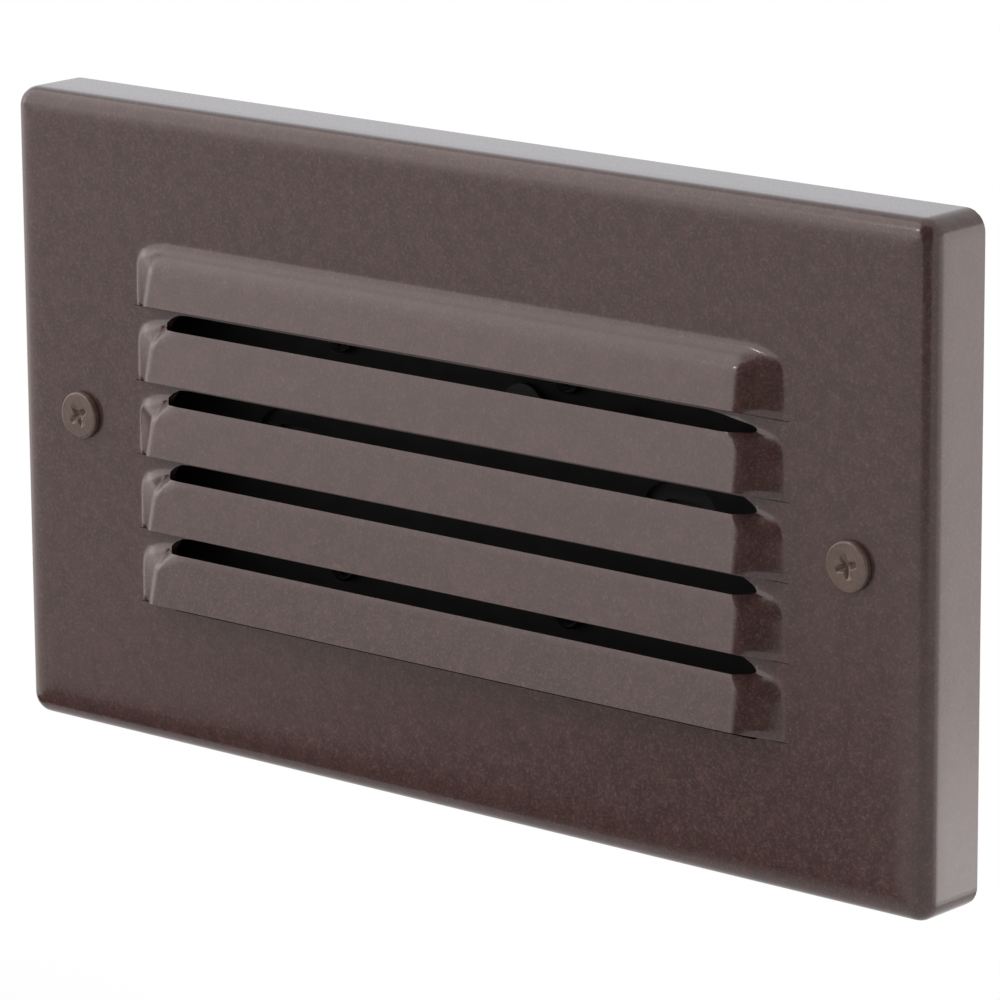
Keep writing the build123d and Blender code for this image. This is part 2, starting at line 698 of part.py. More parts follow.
with BuildPart() as driver_case:
    with BuildSketch(wall_plane(case_back_y)):
        with Locations((driver_x, 0)):
            RectangleRounded(driver_width, driver_height, driver_corner_radius)
    extrude(amount=case_back_y - lid_back_y)
    with BuildSketch(wall_plane(case_back_y - driver_wall)):
        with Locations((driver_x, 0)):
            RectangleRounded(case_inner_width, case_inner_height, driver_corner_radius - driver_wall)
    extrude(amount=driver_depth, mode=Mode.SUBTRACT)
    with BuildSketch(wall_plane(lid_back_y + boss_length)):
        with Locations(*boss_places):
            Circle(boss_diameter / 2)
    extrude(amount=boss_length)
    with BuildSketch(wall_plane(case_back_y - driver_wall)):
        with Locations(*board_screw_places):
            Circle(board_post_diameter / 2)
    extrude(amount=board_standoff)
    with BuildSketch(wall_plane(lid_back_y + boss_length)):
        with Locations(*boss_places):
            Circle(boss_pilot_diameter / 2)
    extrude(amount=boss_length, mode=Mode.SUBTRACT)
    with BuildSketch(wall_plane(board_back_y + board_standoff)):
        with Locations(*board_screw_places):
            Circle(board_screw_diameter / 2)
    extrude(amount=board_standoff, mode=Mode.SUBTRACT)
    with BuildSketch(wall_plane(case_back_y)):
        with Locations(on_board(terminal_place)):
            Rectangle(terminal_length + 2 * terminal_gap, terminal_height + 2 * terminal_gap)
    extrude(amount=driver_wall, mode=Mode.SUBTRACT)
keep(driver_case, "driver_case")

with BuildPart() as lead_grommet:
    with BuildSketch(wall_plane(lid_back_y)):
        with Locations(grommet_place):
            Circle(grommet_neck_diameter / 2)
    extrude(amount=lid_back_y - tray_floor_y)
    with BuildSketch(wall_plane(tray_floor_y), wall_plane(lid_back_y + grommet_flange_thickness)):
        with Locations(grommet_place):
            Circle(grommet_flange_diameter / 2)
    extrude(amount=grommet_flange_thickness)
    with BuildSketch(wall_plane(lid_back_y + grommet_flange_thickness)):
        with Locations(grommet_place):
            Circle(grommet_bore_diameter / 2)
    extrude(amount=lid_back_y - tray_floor_y + 2 * grommet_flange_thickness, mode=Mode.SUBTRACT)
keep(lead_grommet, "lead_grommet")


# ---------------------------------------------------------------- driver circuit board and its parts
with BuildPart() as driver_board:
    with BuildSketch(wall_plane(board_back_y)):
        with Locations((driver_x, 0)):
            Rectangle(board_width, board_height)
        with Locations(*board_screw_places):
            Circle(board_screw_diameter / 2 + screw_clearance / 2, mode=Mode.SUBTRACT)
    extrude(amount=board_thickness)
keep(driver_board, "driver_board")

with BuildPart() as board_screws:
    with BuildSketch(wall_plane(board_front_y + board_screw_length)):
        with Locations(*board_screw_places):
            Circle(board_screw_diameter / 2)
    extrude(amount=board_screw_length)
    with BuildSketch(wall_plane(board_front_y)):
        with Locations(*board_screw_places):
            Circle(board_screw_head_diameter / 2)
    extrude(amount=board_screw_head_height)
keep(board_screws, "board_screws")

with BuildPart() as terminal_block:
    with BuildSketch(wall_plane(board_back_y + terminal_depth)):
        with Locations(on_board(terminal_place)):
            Rectangle(terminal_length, terminal_height)
    extrude(amount=terminal_depth)
    with BuildSketch(wall_plane(board_back_y + terminal_depth)):
        with Locations(on_board((terminal_place[0], terminal_place[1] - terminal_port_drop))):
            with GridLocations(terminal_pitch, terminal_pitch, terminal_ports, 1):
                Circle(terminal_port_diameter / 2)
    extrude(amount=terminal_port_depth, mode=Mode.SUBTRACT)
    with BuildSketch(wall_plane(board_back_y + terminal_depth)):
        with Locations(on_board((terminal_place[0], terminal_place[1] + terminal_port_drop))):
            with GridLocations(terminal_pitch, terminal_pitch, terminal_ports, 1):
                Rectangle(terminal_release_width, terminal_release_height)
    extrude(amount=terminal_release_depth, mode=Mode.SUBTRACT)
keep(terminal_block, "terminal_block")

with BuildPart() as output_connector:
    with BuildSketch(wall_plane(board_front_y)):
        with Locations(output_connector_place):
            Rectangle(output_connector_length, output_connector_width)
    extrude(amount=output_connector_height)
    fillet(output_connector.edges().filter_by(Axis.Y), part_edge)
keep(output_connector, "output_connector")

with BuildPart() as driver_transformer:
    with BuildSketch(wall_plane(board_front_y)):
        with Locations(on_board(transformer_place)):
            Rectangle(transformer_width, transformer_core_thickness)
    extrude(amount=transformer_height)
    with BuildSketch(wall_plane(board_front_y - transformer_limb)):
        with Locations(on_board(transformer_place)):
            Rectangle(transformer_width - 2 * transformer_limb, transformer_core_thickness)
    extrude(amount=transformer_height - 2 * transformer_limb, mode=Mode.SUBTRACT)
    with BuildSketch(wall_plane(board_front_y - transformer_limb)):
        with Locations(on_board(transformer_place)):
            Circle(transformer_winding_diameter / 2)
            Rectangle(
                transformer_width - 2 * transformer_limb,
                transformer_winding_diameter,
                mode=Mode.INTERSECT,
            )
    extrude(amount=transformer_height - 2 * transformer_limb)
    with BuildSketch(wall_plane(board_front_y)):
        with Locations(on_board(transformer_place)):
            Rectangle(transformer_winding_diameter, transformer_depth)
    extrude(amount=transformer_base_height)
keep(driver_transformer, "driver_transformer")

with BuildPart() as driver_electrolytics:
    with BuildSketch(wall_plane(board_front_y)):
        with Locations(*[on_board(place) for place in electrolytic_places]):
            Circle(electrolytic_diameter / 2)
    extrude(amount=electrolytic_length)
    fillet(driver_electrolytics.faces().filter_by(Axis.Y).group_by(Axis.Y)[0].edges(), electrolytic_edge)
keep(driver_electrolytics, "driver_electrolytics")

with BuildPart() as driver_film_capacitor:
    with BuildSketch(wall_plane(board_front_y)):
        with Locations(on_board(film_capacitor_place)):
            Rectangle(film_capacitor_length, film_capacitor_width)
    extrude(amount=film_capacitor_height)
    fillet(driver_film_capacitor.edges().filter_by(Axis.Y), part_edge)
keep(driver_film_capacitor, "driver_film_capacitor")

with BuildPart() as driver_choke:
    with BuildSketch(wall_plane(board_front_y)):
        with Locations(on_board(choke_place)):
            Circle(choke_diameter / 2)
    extrude(amount=choke_height)
    with BuildSketch(wall_plane(board_front_y - choke_flange_thickness)):
        with Locations(on_board(choke_place)):
            Circle(choke_diameter / 2)
            Circle(choke_waist_diameter / 2, mode=Mode.SUBTRACT)
    extrude(amount=choke_height - 2 * choke_flange_thickness, mode=Mode.SUBTRACT)
keep(driver_choke, "driver_choke")

with BuildPart() as driver_rectifier:
    with BuildSketch(wall_plane(board_front_y)):
        with Locations(on_board(rectifier_place)):
            Rectangle(rectifier_length, rectifier_width)
    extrude(amount=rectifier_height)
    chamfer(driver_rectifier.edges().filter_by(Axis.Y), part_edge)
keep(driver_rectifier, "driver_rectifier")

with BuildPart() as driver_controller:
    with BuildSketch(wall_plane(board_front_y)):
        with Locations(on_board(controller_place)):
            Rectangle(controller_length, controller_width)
    extrude(amount=controller_height)
keep(driver_controller, "driver_controller")

with BuildPart() as driver_fuse:
    with BuildSketch(wall_plane(board_front_y)):
        with Locations(on_board(fuse_place)):
            Circle(fuse_diameter / 2)
    extrude(amount=fuse_height)
    fillet(driver_fuse.faces().sort_by(Axis.Y)[0].edges(), part_edge)
keep(driver_fuse, "driver_fuse")


# ---------------------------------------------------------------- leads to the diode strip, and their clips
for step, name in ((1, "positive_lead"), (-1, "negative_lead")):
    shift = step * lead_spacing / 2
    exit_y = channel_middle_y - shift
    side_x = lead_corner_x + lead_spacing / 2 + shift
    run_z = grommet_place[1] - shift
    with BuildPart() as lead:
        with BuildLine() as route:
            FilletPolyline(
                (lead_exit_x, exit_y, lead_exit_z),
                (side_x, exit_y, lead_exit_z),
                (side_x, lead_floor_y, lead_exit_z - lead_dip),
                (side_x, lead_floor_y, run_z),
                (lead_ramp_x + lead_ramp, lead_floor_y, run_z),
                (lead_ramp_x, lead_hover_y, run_z),
                (grommet_place[0], lead_hover_y, run_z),
                (grommet_place[0], lead_inside_y, run_z),
                (grommet_place[0], lead_bend_y, output_connector_place[1] - shift),
                (grommet_place[0], lead_end_y, output_connector_place[1] - shift),
                radius=lead_bend_radius,
            )
        with BuildSketch(Plane(origin=route.line @ 0, z_dir=route.line % 0)):
            Circle(lead_diameter / 2)
        sweep()
    keep(lead, name)

with BuildPart() as lead_clips:
    with BuildSketch(wall_plane(tray_floor_y)):
        with Locations(*lead_clip_places):
            Rectangle(lead_clip_length, lead_spacing + lead_diameter + 2 * lead_gap + 2 * lead_clip_wall)
    extrude(amount=lead_diameter + 2 * lead_gap + lead_clip_wall)
    with BuildSketch(wall_plane(tray_floor_y)):
        with Locations(*lead_clip_places):
            Rectangle(lead_clip_length, lead_spacing + lead_diameter + 2 * lead_gap)
    extrude(amount=lead_diameter + 2 * lead_gap, mode=Mode.SUBTRACT)
keep(lead_clips, "lead_clips")
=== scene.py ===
import math

import bpy
import numpy as np
from mathutils import Matrix, Vector


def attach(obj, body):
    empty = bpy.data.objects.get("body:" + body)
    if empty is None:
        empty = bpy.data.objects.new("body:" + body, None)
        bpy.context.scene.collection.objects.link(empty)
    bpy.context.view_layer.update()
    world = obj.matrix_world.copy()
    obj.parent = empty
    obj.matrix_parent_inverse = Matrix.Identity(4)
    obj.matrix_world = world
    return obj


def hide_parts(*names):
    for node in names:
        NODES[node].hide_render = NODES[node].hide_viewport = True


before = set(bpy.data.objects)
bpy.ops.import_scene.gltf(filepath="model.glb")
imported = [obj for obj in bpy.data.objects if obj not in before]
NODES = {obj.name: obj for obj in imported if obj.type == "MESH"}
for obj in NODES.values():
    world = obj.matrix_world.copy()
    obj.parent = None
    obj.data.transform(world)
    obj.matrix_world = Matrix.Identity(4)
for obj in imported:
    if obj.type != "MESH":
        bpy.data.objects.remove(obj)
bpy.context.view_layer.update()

# Sizes are in millimetres and angles in degrees. The scene itself is in metres.
MM = 0.001

# The pan of the faceplate. Its face falls by the drop over the lead next to the bend.
PLATE_WIDTH = 194.0
PLATE_HEIGHT = 110.0
PLATE_DEPTH = 13.2
SHEET = 1.2
CUT_EDGE = 0.14
BEND_RADIUS = 2.5
CORNER_RADIUS = 3.5
CORNER_CENTRE = np.array([PLATE_WIDTH / 2 - CORNER_RADIUS, PLATE_HEIGHT / 2 - CORNER_RADIUS])
FACE_LEAD = 3.4
FACE_LEAD_DROP = 0.26

# The louvres: each form stands on a lance line, along which the sheet is cut.
LOUVRE_PITCH = 12.8
LANCE_LINES = tuple(-30.5 + LOUVRE_PITCH * i for i in range(5))
FORM_HEIGHT = 12.7
FORM_HALF = 69.1
FORM_SHIFT = 0.4
PROJECTION = 4.8
LIP_RISE = 1.45
TOP_FOOT = 2.8
TOP_SHOULDER = 2.6
BLADE_LEAN = 0.2
SLOT_EDGE_TIGHTNESS = 0.47

# Their ends, called caps, seen from the front and then along the length.
SHOULDER_RADIUS = 6.0
HEEL_RADIUS = 1.1
CAP_WIDTH_LOW = 7.4
CAP_WIDTH_HIGH = 8.6
CAP_CREST = 2.6
CAP_FOOT = 0.9

# The cut along each lance line, as it shows in the flat strip at the ends.
LANCE_GAP = 0.1
LANCE_HALF = 69.6

# The slots between the louvres, and the sill of plate that is left over each.
SLOT_HALF = 62.7
SLOT_SHIFT = 1.3
SLOT_END_RADIUS = 1.1
SLOT_END_FADE = 5.0
SLOT_FLOOR = 2.5
LAST_SLOT_HEIGHT = 0.45
SILL = 1.6
SILL_MIDDLE = 0.27
SILL_TAPER = 2.8
SILL_TAPER_LONG = 9.0

# The screw holes. The grid about each is warped from a square to rings.
SCREW_X = 82.0
SCREW_HOLE_RADIUS = 2.3
HOLE_SQUARE = 1.6
HOLE_SURROUND = 4.0

# The cover screws, each with its cross recess turned as in the photograph.
SCREW_TURNS = {"left": 35.0, "right": 20.0}
SCREW_SEAT_Y = -13.25
SCREW_TIP_Y = -0.65
SCREW_HEAD_RADIUS = 4.05
SCREW_HEAD_HEIGHT = 1.15
SCREW_HEAD_EDGE = 0.4
SCREW_SHANK_RADIUS = 2.0
SCREW_THREAD_PITCH = 0.8
SCREW_THREAD_DEPTH = 0.25
SCREW_PLAIN_NECK = 1.5
SCREW_RING_STEP = 0.1
SCREW_TIP_CHAMFER = 0.6
RECESS_REACH = 2.05
RECESS_ARM = 0.9
RECESS_DEPTH = 1.0
RECESS_FLANK = 0.34
RECESS_RISE = 0.7


# ---------------------------------------------------------------- meshes
def mesh_object(name, points, blocks, material):
    """A mesh object from points in millimetres and blocks of faces, smooth shaded."""
    mesh = bpy.data.meshes.new(name)
    mesh.from_pydata((points * MM).tolist(), [], [face for block in blocks for face in block.tolist()])
    mesh.shade_smooth()
    mesh.materials.append(material)
    made = bpy.data.objects.new(name, mesh)
    bpy.context.scene.collection.objects.link(made)
    return made


def grid_cells(index):
    """Quads between the rows and columns of an index grid, facing the viewer of row 0 at the bottom."""
    return np.stack([index[:-1, :-1], index[:-1, 1:], index[1:, 1:], index[1:, :-1]], -1).reshape(-1, 4)


def grid_rim(index):
    """The index grid's border, anticlockwise from its first corner, with no point twice in a row."""
    rim = np.concatenate([index[0, :-1], index[:-1, -1], index[-1, :0:-1], index[:0:-1, 0]])
    return rim[rim != np.roll(rim, 1)]


def skirt_cells(rings):
    """Quads between closed rings of indices, each ring further out or back than the one before."""
    ahead = np.roll(rings, -1, axis=1)
    return np.stack([rings[:-1], rings[1:], ahead[1:], ahead[:-1]], -1).reshape(-1, 4)


def drop_loose(points, faces):
    """The same faces with only the points that they use."""
    used, back = np.unique(faces, return_inverse=True)
    return points[used], back.reshape(faces.shape)


def eased(u, width):
    """Integral of a rise from 0 to 1 over the width: clip(u, 0, w)^2 / 2w + max(u - w, 0)."""
    return np.clip(u, 0, width) ** 2 / (2 * width) + np.maximum(u - width, 0)


def blade_stand(v, tightness):
    """How far a louvre stands out at height v over its lance line at mid length.

    The slope downwards from the top of the form rises over the foot with the
    cube of the way, falls evenly over the shoulder to the blade's own lean, and
    holds to the lip. The steepest slope is what brings the lip to the full
    projection. tightness shortens the foot and the shoulder.
    """
    foot, shoulder = TOP_FOOT * tightness, TOP_SHOULDER * tightness
    below = FORM_HEIGHT - v
    held = FORM_HEIGHT - LIP_RISE - foot - shoulder / 2
    steepest = (PROJECTION - BLADE_LEAN * held) / (foot / 4 + shoulder / 2)
    started = foot / 4 * np.clip(below / foot, 0, 1) ** 4 + np.maximum(below - foot, 0)
    return steepest * started - (steepest - BLADE_LEAN) * eased(below - foot, shoulder)


def end_share(x, v):
    """Share of the full stand-out at x and height v: foot, even ramp and crest at each end.

    The outline is straight with a round shoulder and heel. The distance in from
    it feeds the integral of a slope that rises over the foot, holds, and falls
    over the crest, divided by its full value. The ramp is wider further up.
    """
    shoulder = np.clip(v - (FORM_HEIGHT - SHOULDER_RADIUS), 0, SHOULDER_RADIUS)
    heel = np.clip(HEEL_RADIUS - v, 0, HEEL_RADIUS)
    outline = FORM_HALF - SHOULDER_RADIUS + np.sqrt(SHOULDER_RADIUS ** 2 - shoulder ** 2)
    outline = outline - HEEL_RADIUS + np.sqrt(HEEL_RADIUS ** 2 - heel ** 2)
    width = CAP_WIDTH_LOW + (CAP_WIDTH_HIGH - CAP_WIDTH_LOW) * v / FORM_HEIGHT + outline - FORM_HALF
    inward = np.maximum(outline - np.abs(x - FORM_SHIFT), 0)
    full = width - CAP_FOOT / 2 - CAP_CREST / 2
    return (eased(inward, CAP_FOOT) - eased(inward - width + CAP_CREST, CAP_CREST)) / full


def slot_share(drop):
    """Share of a form's height at which its plate comes to lie this far under the lance line above."""
    return (LOUVRE_PITCH - drop - LIP_RISE) / (FORM_HEIGHT - LIP_RISE)


def plate_rows():
    """Rows of the plate's grid from its bottom up, as an array.

    Each is (flat height, lance line that it is drawn up from, share of the
    form's height, share of the slot's height), with nan where there is none.
    """
    none = math.nan
    floor, sill = slot_share(SLOT_FLOOR), slot_share(SILL_MIDDLE)
    slot = (0, 0.01, 0.04, 0.1, 0.2, 0.35, 0.5, 0.65, 0.8, 0.9, 0.96, 0.99, 1)
    lowest = LANCE_LINES[0]
    edge = PLATE_HEIGHT / 2 - BEND_RADIUS
    from_edge = (0, 0.2, 0.5, 0.8, 1.1, 1.8, 3.1)
    below = [s - edge for s in from_edge] + [-47, -43, -39, -35, -32.5]
    above = [34, 35, 37.5, 41, 45, 47] + [edge - s for s in from_edge[::-1]]
    rows = [(z, none, 0, none) for z in below]
    rows += [(lowest - LAST_SLOT_HEIGHT * (1 - s), none, 0, s) for s in slot]
    for lance in LANCE_LINES:
        if lance != lowest:
            rows += [(lance, none, 0, none)]
        rows += [(lance + FORM_HEIGHT * t, lance, t, none) for t in np.linspace(0, floor, 15)[:-1]]
        opened = (s if lance < LANCE_LINES[-1] else none for s in slot)
        shares = [floor + (sill - floor) * s for s in slot]
        rows += [(lance + FORM_HEIGHT * t, lance, t, s) for t, s in zip(shares, opened)]
        rows += [(lance + FORM_HEIGHT * t, lance, t, none) for t in ((sill + 1) / 2, 1)]
    rows += [(z, none, 0, none) for z in above]
    return np.array(rows, float)


def plate_columns():
    """Columns of the plate's grid, close together where the ends, screws and corners are."""
    half = [46.0, 50.0, 54.0, 57.0, 59.0, *np.arange(60.2, 70.61, 0.25), 71.5, 73, 75, 76.5, 78]
    from_screw = (0.55, 1.1, HOLE_SQUARE, 2.0, 2.5, 3.2)
    half += [SCREW_X - s for s in from_screw[::-1]]
    half += [SCREW_X + s for s in (0, *from_screw, HOLE_SURROUND)]
    half += [PLATE_WIDTH / 2 - BEND_RADIUS - s for s in (6.5, 5.0, 3.5, 2.2, 1.4, 1.0, 0.7, 0.4, 0)]
    middle = np.linspace(-half[0], half[0], 13)[1:-1]
    return np.concatenate([-np.array(half[::-1]), middle, half])


def near_slot_end(x, taper):
    """Share that is 1 at the ends of a slot and beyond, and falls to 0 over the taper inside it."""
    return np.clip(1 - (SLOT_HALF - np.abs(x - SLOT_SHIFT)) / taper, 0, 1)


def with_slot_ends(columns, opened):
    """The grid's x with the slots' ends bulged to a half round, and the two columns that they start at.

    At share s of a slot's height, the end reaches R * sqrt(1 - (2 s - 1)^2) past its
    straight part. The bulge fades out over the columns further on.
    """
    straight = SLOT_HALF - SLOT_END_RADIUS
    ends = [columns[np.argmin(np.abs(columns - SLOT_SHIFT - side * straight))] for side in (-1, 1)]
    start = np.where(columns > 0, ends[1], ends[0])
    half_round = SLOT_END_RADIUS * np.sqrt(1 - (2 * opened - 1) ** 2) + straight
    bulge = np.sign(columns) * half_round + SLOT_SHIFT - start
    fade = np.interp(np.abs(columns) - np.abs(start), [0, SLOT_END_FADE], [1, 0])
    return np.where((opened > 0) & (opened < 1), columns + bulge * fade, columns), ends


def with_sills(x, share, slotted, taper):
    """Shares of a form's height with the slots' tops lowered to the sills, which are taller at the ends.

    The rows of a slot, and those of the crown over it, keep their shares of the height
    that is between them.
    """
    floor, sill = slot_share(SLOT_FLOOR), slot_share(SILL_MIDDLE)
    here = slot_share(SILL_MIDDLE + (SILL - SILL_MIDDLE) * near_slot_end(x, taper))
    in_slot = floor + (share - floor) / (sill - floor) * (here - floor)
    in_crown = here + (share - sill) / (1 - sill) * (1 - here)
    return np.where(slotted & (share > floor), np.where(share <= sill, in_slot, in_crown), share)


def with_screw_holes(x, z, flat):
    """The grid's x and z with the squares about each screw warped to rings, and each point's square.

    The two rows nearest the hole's square are its sides. A point goes along its own
    direction from the hole's centre to the radius of its ring, and the pull falls evenly
    from 1 at the hole to 0 at the edge of the surround.
    """
    across = np.abs(x) - SCREW_X
    near = np.sort(flat[np.argsort(np.abs(np.abs(flat[:, 0]) - HOLE_SQUARE))[:2], 0])
    level = np.interp(z, [-HOLE_SURROUND, *near, HOLE_SURROUND],
                      [-HOLE_SURROUND, -HOLE_SQUARE, HOLE_SQUARE, HOLE_SURROUND])
    square = np.maximum(np.abs(across), np.abs(level))
    apart = np.maximum(np.hypot(across, level), 1e-9)
    warped = HOLE_SURROUND - HOLE_SQUARE
    radius = SCREW_HOLE_RADIUS + (square - HOLE_SQUARE) * (HOLE_SURROUND - SCREW_HOLE_RADIUS) / warped
    pull = np.clip((HOLE_SURROUND - square) / warped, 0, 1)
    about = (np.abs(across) < HOLE_SURROUND) & (np.abs(z) < HOLE_SURROUND)
    x = np.where(about, np.sign(x) * (SCREW_X + across + pull * (across / apart * radius - across)), x)
    z = np.where(about, level + pull * (level / apart * radius - level), z)
    return x, z, square


def with_round_corners(x, z):
    """The grid's x and z with its corners rounded, and each point's distance in from the face's edge.

    The square of the grid at a corner is mapped to a disc: u * sqrt(1 - v^2 / 2), and v likewise.
    """
    corner = CORNER_RADIUS - BEND_RADIUS
    over_x = np.clip((np.abs(x) - CORNER_CENTRE[0]) / corner, 0, 1)
    over_z = np.clip((np.abs(z) - CORNER_CENTRE[1]) / corner, 0, 1)
    in_corner = (over_x > 0) & (over_z > 0)
    round_x = np.sign(x) * (CORNER_CENTRE[0] + corner * over_x * np.sqrt(1 - over_z ** 2 / 2))
    round_z = np.sign(z) * (CORNER_CENTRE[1] + corner * over_z * np.sqrt(1 - over_x ** 2 / 2))
    x, z = np.where(in_corner, round_x, x), np.where(in_corner, round_z, z)
    past = np.stack([np.abs(x), np.abs(z)], -1) - CORNER_CENTRE
    inset = corner - np.linalg.norm(np.maximum(past, 0), axis=-1) - np.minimum(past.max(-1), 0)
    return x, z, inset


def plate_cells(index, columns, lips, opened, ends, square):
    """Quads of the plate's grid, without those of the lance lines, the slots and the screw holes."""
    in_slot = ~np.isnan(opened[:, 0])
    between = (columns[:-1] >= ends[0]) & (columns[1:] <= ends[1])
    slots = (in_slot[:-1] & in_slot[1:])[:, None] & between
    in_hole = square <= HOLE_SQUARE + 0.01
    holes = in_hole[1:, 1:] & in_hole[:-1, :-1] & in_hole[1:, :-1] & in_hole[:-1, 1:]
    kept = ~(slots | holes)
    kept[lips - 1] = False
    return grid_cells(index)[kept.ravel()]


def flange_rings(edge):
    """Rings of points that carry the face's edge round the bend and straight back to the wall.

    The bend is an arc that starts at the slope b that the face has at its edge. At turn
    t it is R * (sin t - sin b) further out and R * (cos b - cos t) further back.
    """
    out = edge[:, [0, 2]] - np.clip(edge[:, [0, 2]], -CORNER_CENTRE, CORNER_CENTRE)
    out /= np.linalg.norm(out, axis=1, keepdims=True)
    begin = math.atan(2 * FACE_LEAD_DROP / FACE_LEAD)
    bend = BEND_RADIUS / (1 - math.sin(begin))
    turn = np.linspace(begin, math.pi / 2, 12)[1:]
    reach = np.append(bend * (np.sin(turn) - math.sin(begin)), np.full(4, BEND_RADIUS))
    back = FACE_LEAD_DROP + bend * (math.cos(begin) - np.cos(turn))
    back = np.append(back, np.linspace(back[-1], PLATE_DEPTH, 5)[1:])
    rings = np.empty((len(back), len(edge), 3))
    rings[..., 0] = edge[:, 0] + reach[:, None] * out[:, 0]
    rings[..., 1] = back[:, None] - PLATE_DEPTH
    rings[..., 2] = edge[:, 2] + reach[:, None] * out[:, 1]
    return rings


def plate_surface():
    """Points and quads of the faceplate's outer skin.

    A grid of rows and columns is drawn up into the five louvres, opened at the
    lance lines, slots and screw holes, rounded at its corners, and carried on
    round the bend into the flange.
    """
    flat, lance, share, opened = plate_rows().T[:, :, None]
    lips = np.flatnonzero((share[:, 0] == 0) & ~np.isnan(lance[:, 0]))
    columns = plate_columns()
    x, ends = with_slot_ends(columns, opened)
    formed = ~np.isnan(lance)
    slotted = formed & (lance < LANCE_LINES[-1])

    # The sill under the top louvre runs out over a longer way at its right end.
    taper = np.where((x > 0) & (lance == LANCE_LINES[-2]), SILL_TAPER_LONG, SILL_TAPER)
    share = with_sills(x, share, slotted, taper)
    z = np.where(formed, np.nan_to_num(lance) + FORM_HEIGHT * share, flat)
    x, z, square = with_screw_holes(x, z, flat)

    # Each lip rises over its lance line, and the plate over it is drawn up and pushed out.
    height = FORM_HEIGHT * share
    blade = LIP_RISE + (FORM_HEIGHT - LIP_RISE) * share
    raised = np.where(formed, end_share(x, height), 0)
    z = z + raised * (blade - height)
    z[lips] += LANCE_GAP * (1 - raised[lips])
    at_end = near_slot_end(x, np.maximum(taper / 2, SILL_TAPER))
    tightness = np.where(slotted, SLOT_EDGE_TIGHTNESS + (1 - SLOT_EDGE_TIGHTNESS) * at_end, 1)
    stand = raised * blade_stand(blade, tightness)

    # The face falls a little towards its bend.
    x, z, inset = with_round_corners(x, z)
    fall = FACE_LEAD_DROP * np.clip(1 - inset / FACE_LEAD, 0, 1) ** 2
    face = np.stack([x, fall - PLATE_DEPTH - stand, z], -1).reshape(-1, 3)

    # Past the ends of a lance line, its row is sewn to the one below.
    index = np.arange(x.size).reshape(x.shape)
    index[lips] = np.where(np.abs(columns - FORM_SHIFT) >= LANCE_HALF, index[lips - 1], index[lips])
    rim = grid_rim(index)
    flange = flange_rings(face[rim])
    rings = np.vstack([rim, len(face) + np.arange(flange[..., 0].size).reshape(flange.shape[:2])])
    cells = plate_cells(index, columns, lips, opened, ends, square)
    points, faces = drop_loose(np.vstack([face, flange.reshape(-1, 3)]),
                               np.vstack([cells, skirt_cells(rings)]))
    return points, [faces]


def recess_depth(x, z, turn):
    """Depth of the cross recess at x and z from the screw's axis.

    Each arm has steep flanks and a floor whose depth falls to its end as a power
    of the way that is left. The deeper of the two arms counts.
    """
    c, s = math.cos(math.radians(turn)), math.sin(math.radians(turn))
    along, over = np.abs(x * c + z * s), np.abs(z * c - x * s)
    arms = [np.clip((RECESS_ARM / 2 - b) / RECESS_FLANK + 0.5, 0, 1)
            * np.clip(1 - a / RECESS_REACH, 0, 1) ** RECESS_RISE
            for a, b in ((along, over), (over, along))]
    return RECESS_DEPTH * np.maximum(*arms)


def screw_surface(side):
    """Points and faces of a cover screw: a flat head with a cross recess, and a threaded shank.

    The head's top is a square grid mapped to a disc. Rings carry on round its rounded
    edge and down the shank, whose radius is R - depth * |2 frac(y / pitch + turn) - 1|.
    """
    centre = SCREW_X if side == "right" else -SCREW_X
    s, t = np.meshgrid(np.linspace(-1, 1, 61), np.linspace(-1, 1, 61))
    top = SCREW_SEAT_Y - SCREW_HEAD_HEIGHT
    disc = SCREW_HEAD_RADIUS - SCREW_HEAD_EDGE
    x, z = disc * s * np.sqrt(1 - t ** 2 / 2), disc * t * np.sqrt(1 - s ** 2 / 2)
    face = np.stack([x, top + recess_depth(x, z, SCREW_TURNS[side]), z], -1).reshape(-1, 3)
    index = np.arange(s.size).reshape(s.shape)
    rim = grid_rim(index)
    angle = np.arctan2(face[rim, 2], face[rim, 0])

    turn = np.linspace(0, math.pi / 2, 7)[1:]
    radius = [disc + SCREW_HEAD_EDGE * np.sin(turn), [SCREW_HEAD_RADIUS] * 2, [SCREW_SHANK_RADIUS]]
    y = [top + SCREW_HEAD_EDGE * (1 - np.cos(turn)), [SCREW_SEAT_Y - 0.3, SCREW_SEAT_Y], [SCREW_SEAT_Y]]
    shank_y = np.arange(SCREW_SEAT_Y + SCREW_RING_STEP, SCREW_TIP_Y, SCREW_RING_STEP)
    radius.append(SCREW_SHANK_RADIUS - np.clip(shank_y - SCREW_TIP_Y + SCREW_TIP_CHAMFER, 0, None))
    y.append(shank_y)
    radius, y = np.concatenate(radius), np.concatenate(y)
    cut = (y > SCREW_SEAT_Y + SCREW_PLAIN_NECK)[:, None] * SCREW_THREAD_DEPTH
    phase = (y[:, None] / SCREW_THREAD_PITCH + angle / (2 * math.pi)) % 1
    radius = radius[:, None] - cut * np.abs(2 * phase - 1)
    depth = np.broadcast_to(y[:, None], radius.shape)
    rings = np.stack([radius * np.cos(angle), depth, radius * np.sin(angle)], -1)
    points = np.vstack([face, rings.reshape(-1, 3)]) + [centre, 0, 0]
    numbers = np.vstack([rim, s.size + np.arange(radius.size).reshape(radius.shape)])
    return points, [grid_cells(index), skirt_cells(numbers), numbers[-1:, ::-1]]


# ------------------------------------------------------------- materials
def linear(code):
    """Linear colour with alpha from an sRGB hex code."""
    parts = [int(code[i:i + 2], 16) / 255 for i in (1, 3, 5)]
    return [p / 12.92 if p <= 0.04045 else ((p + 0.055) / 1.055) ** 2.4 for p in parts] + [1.0]


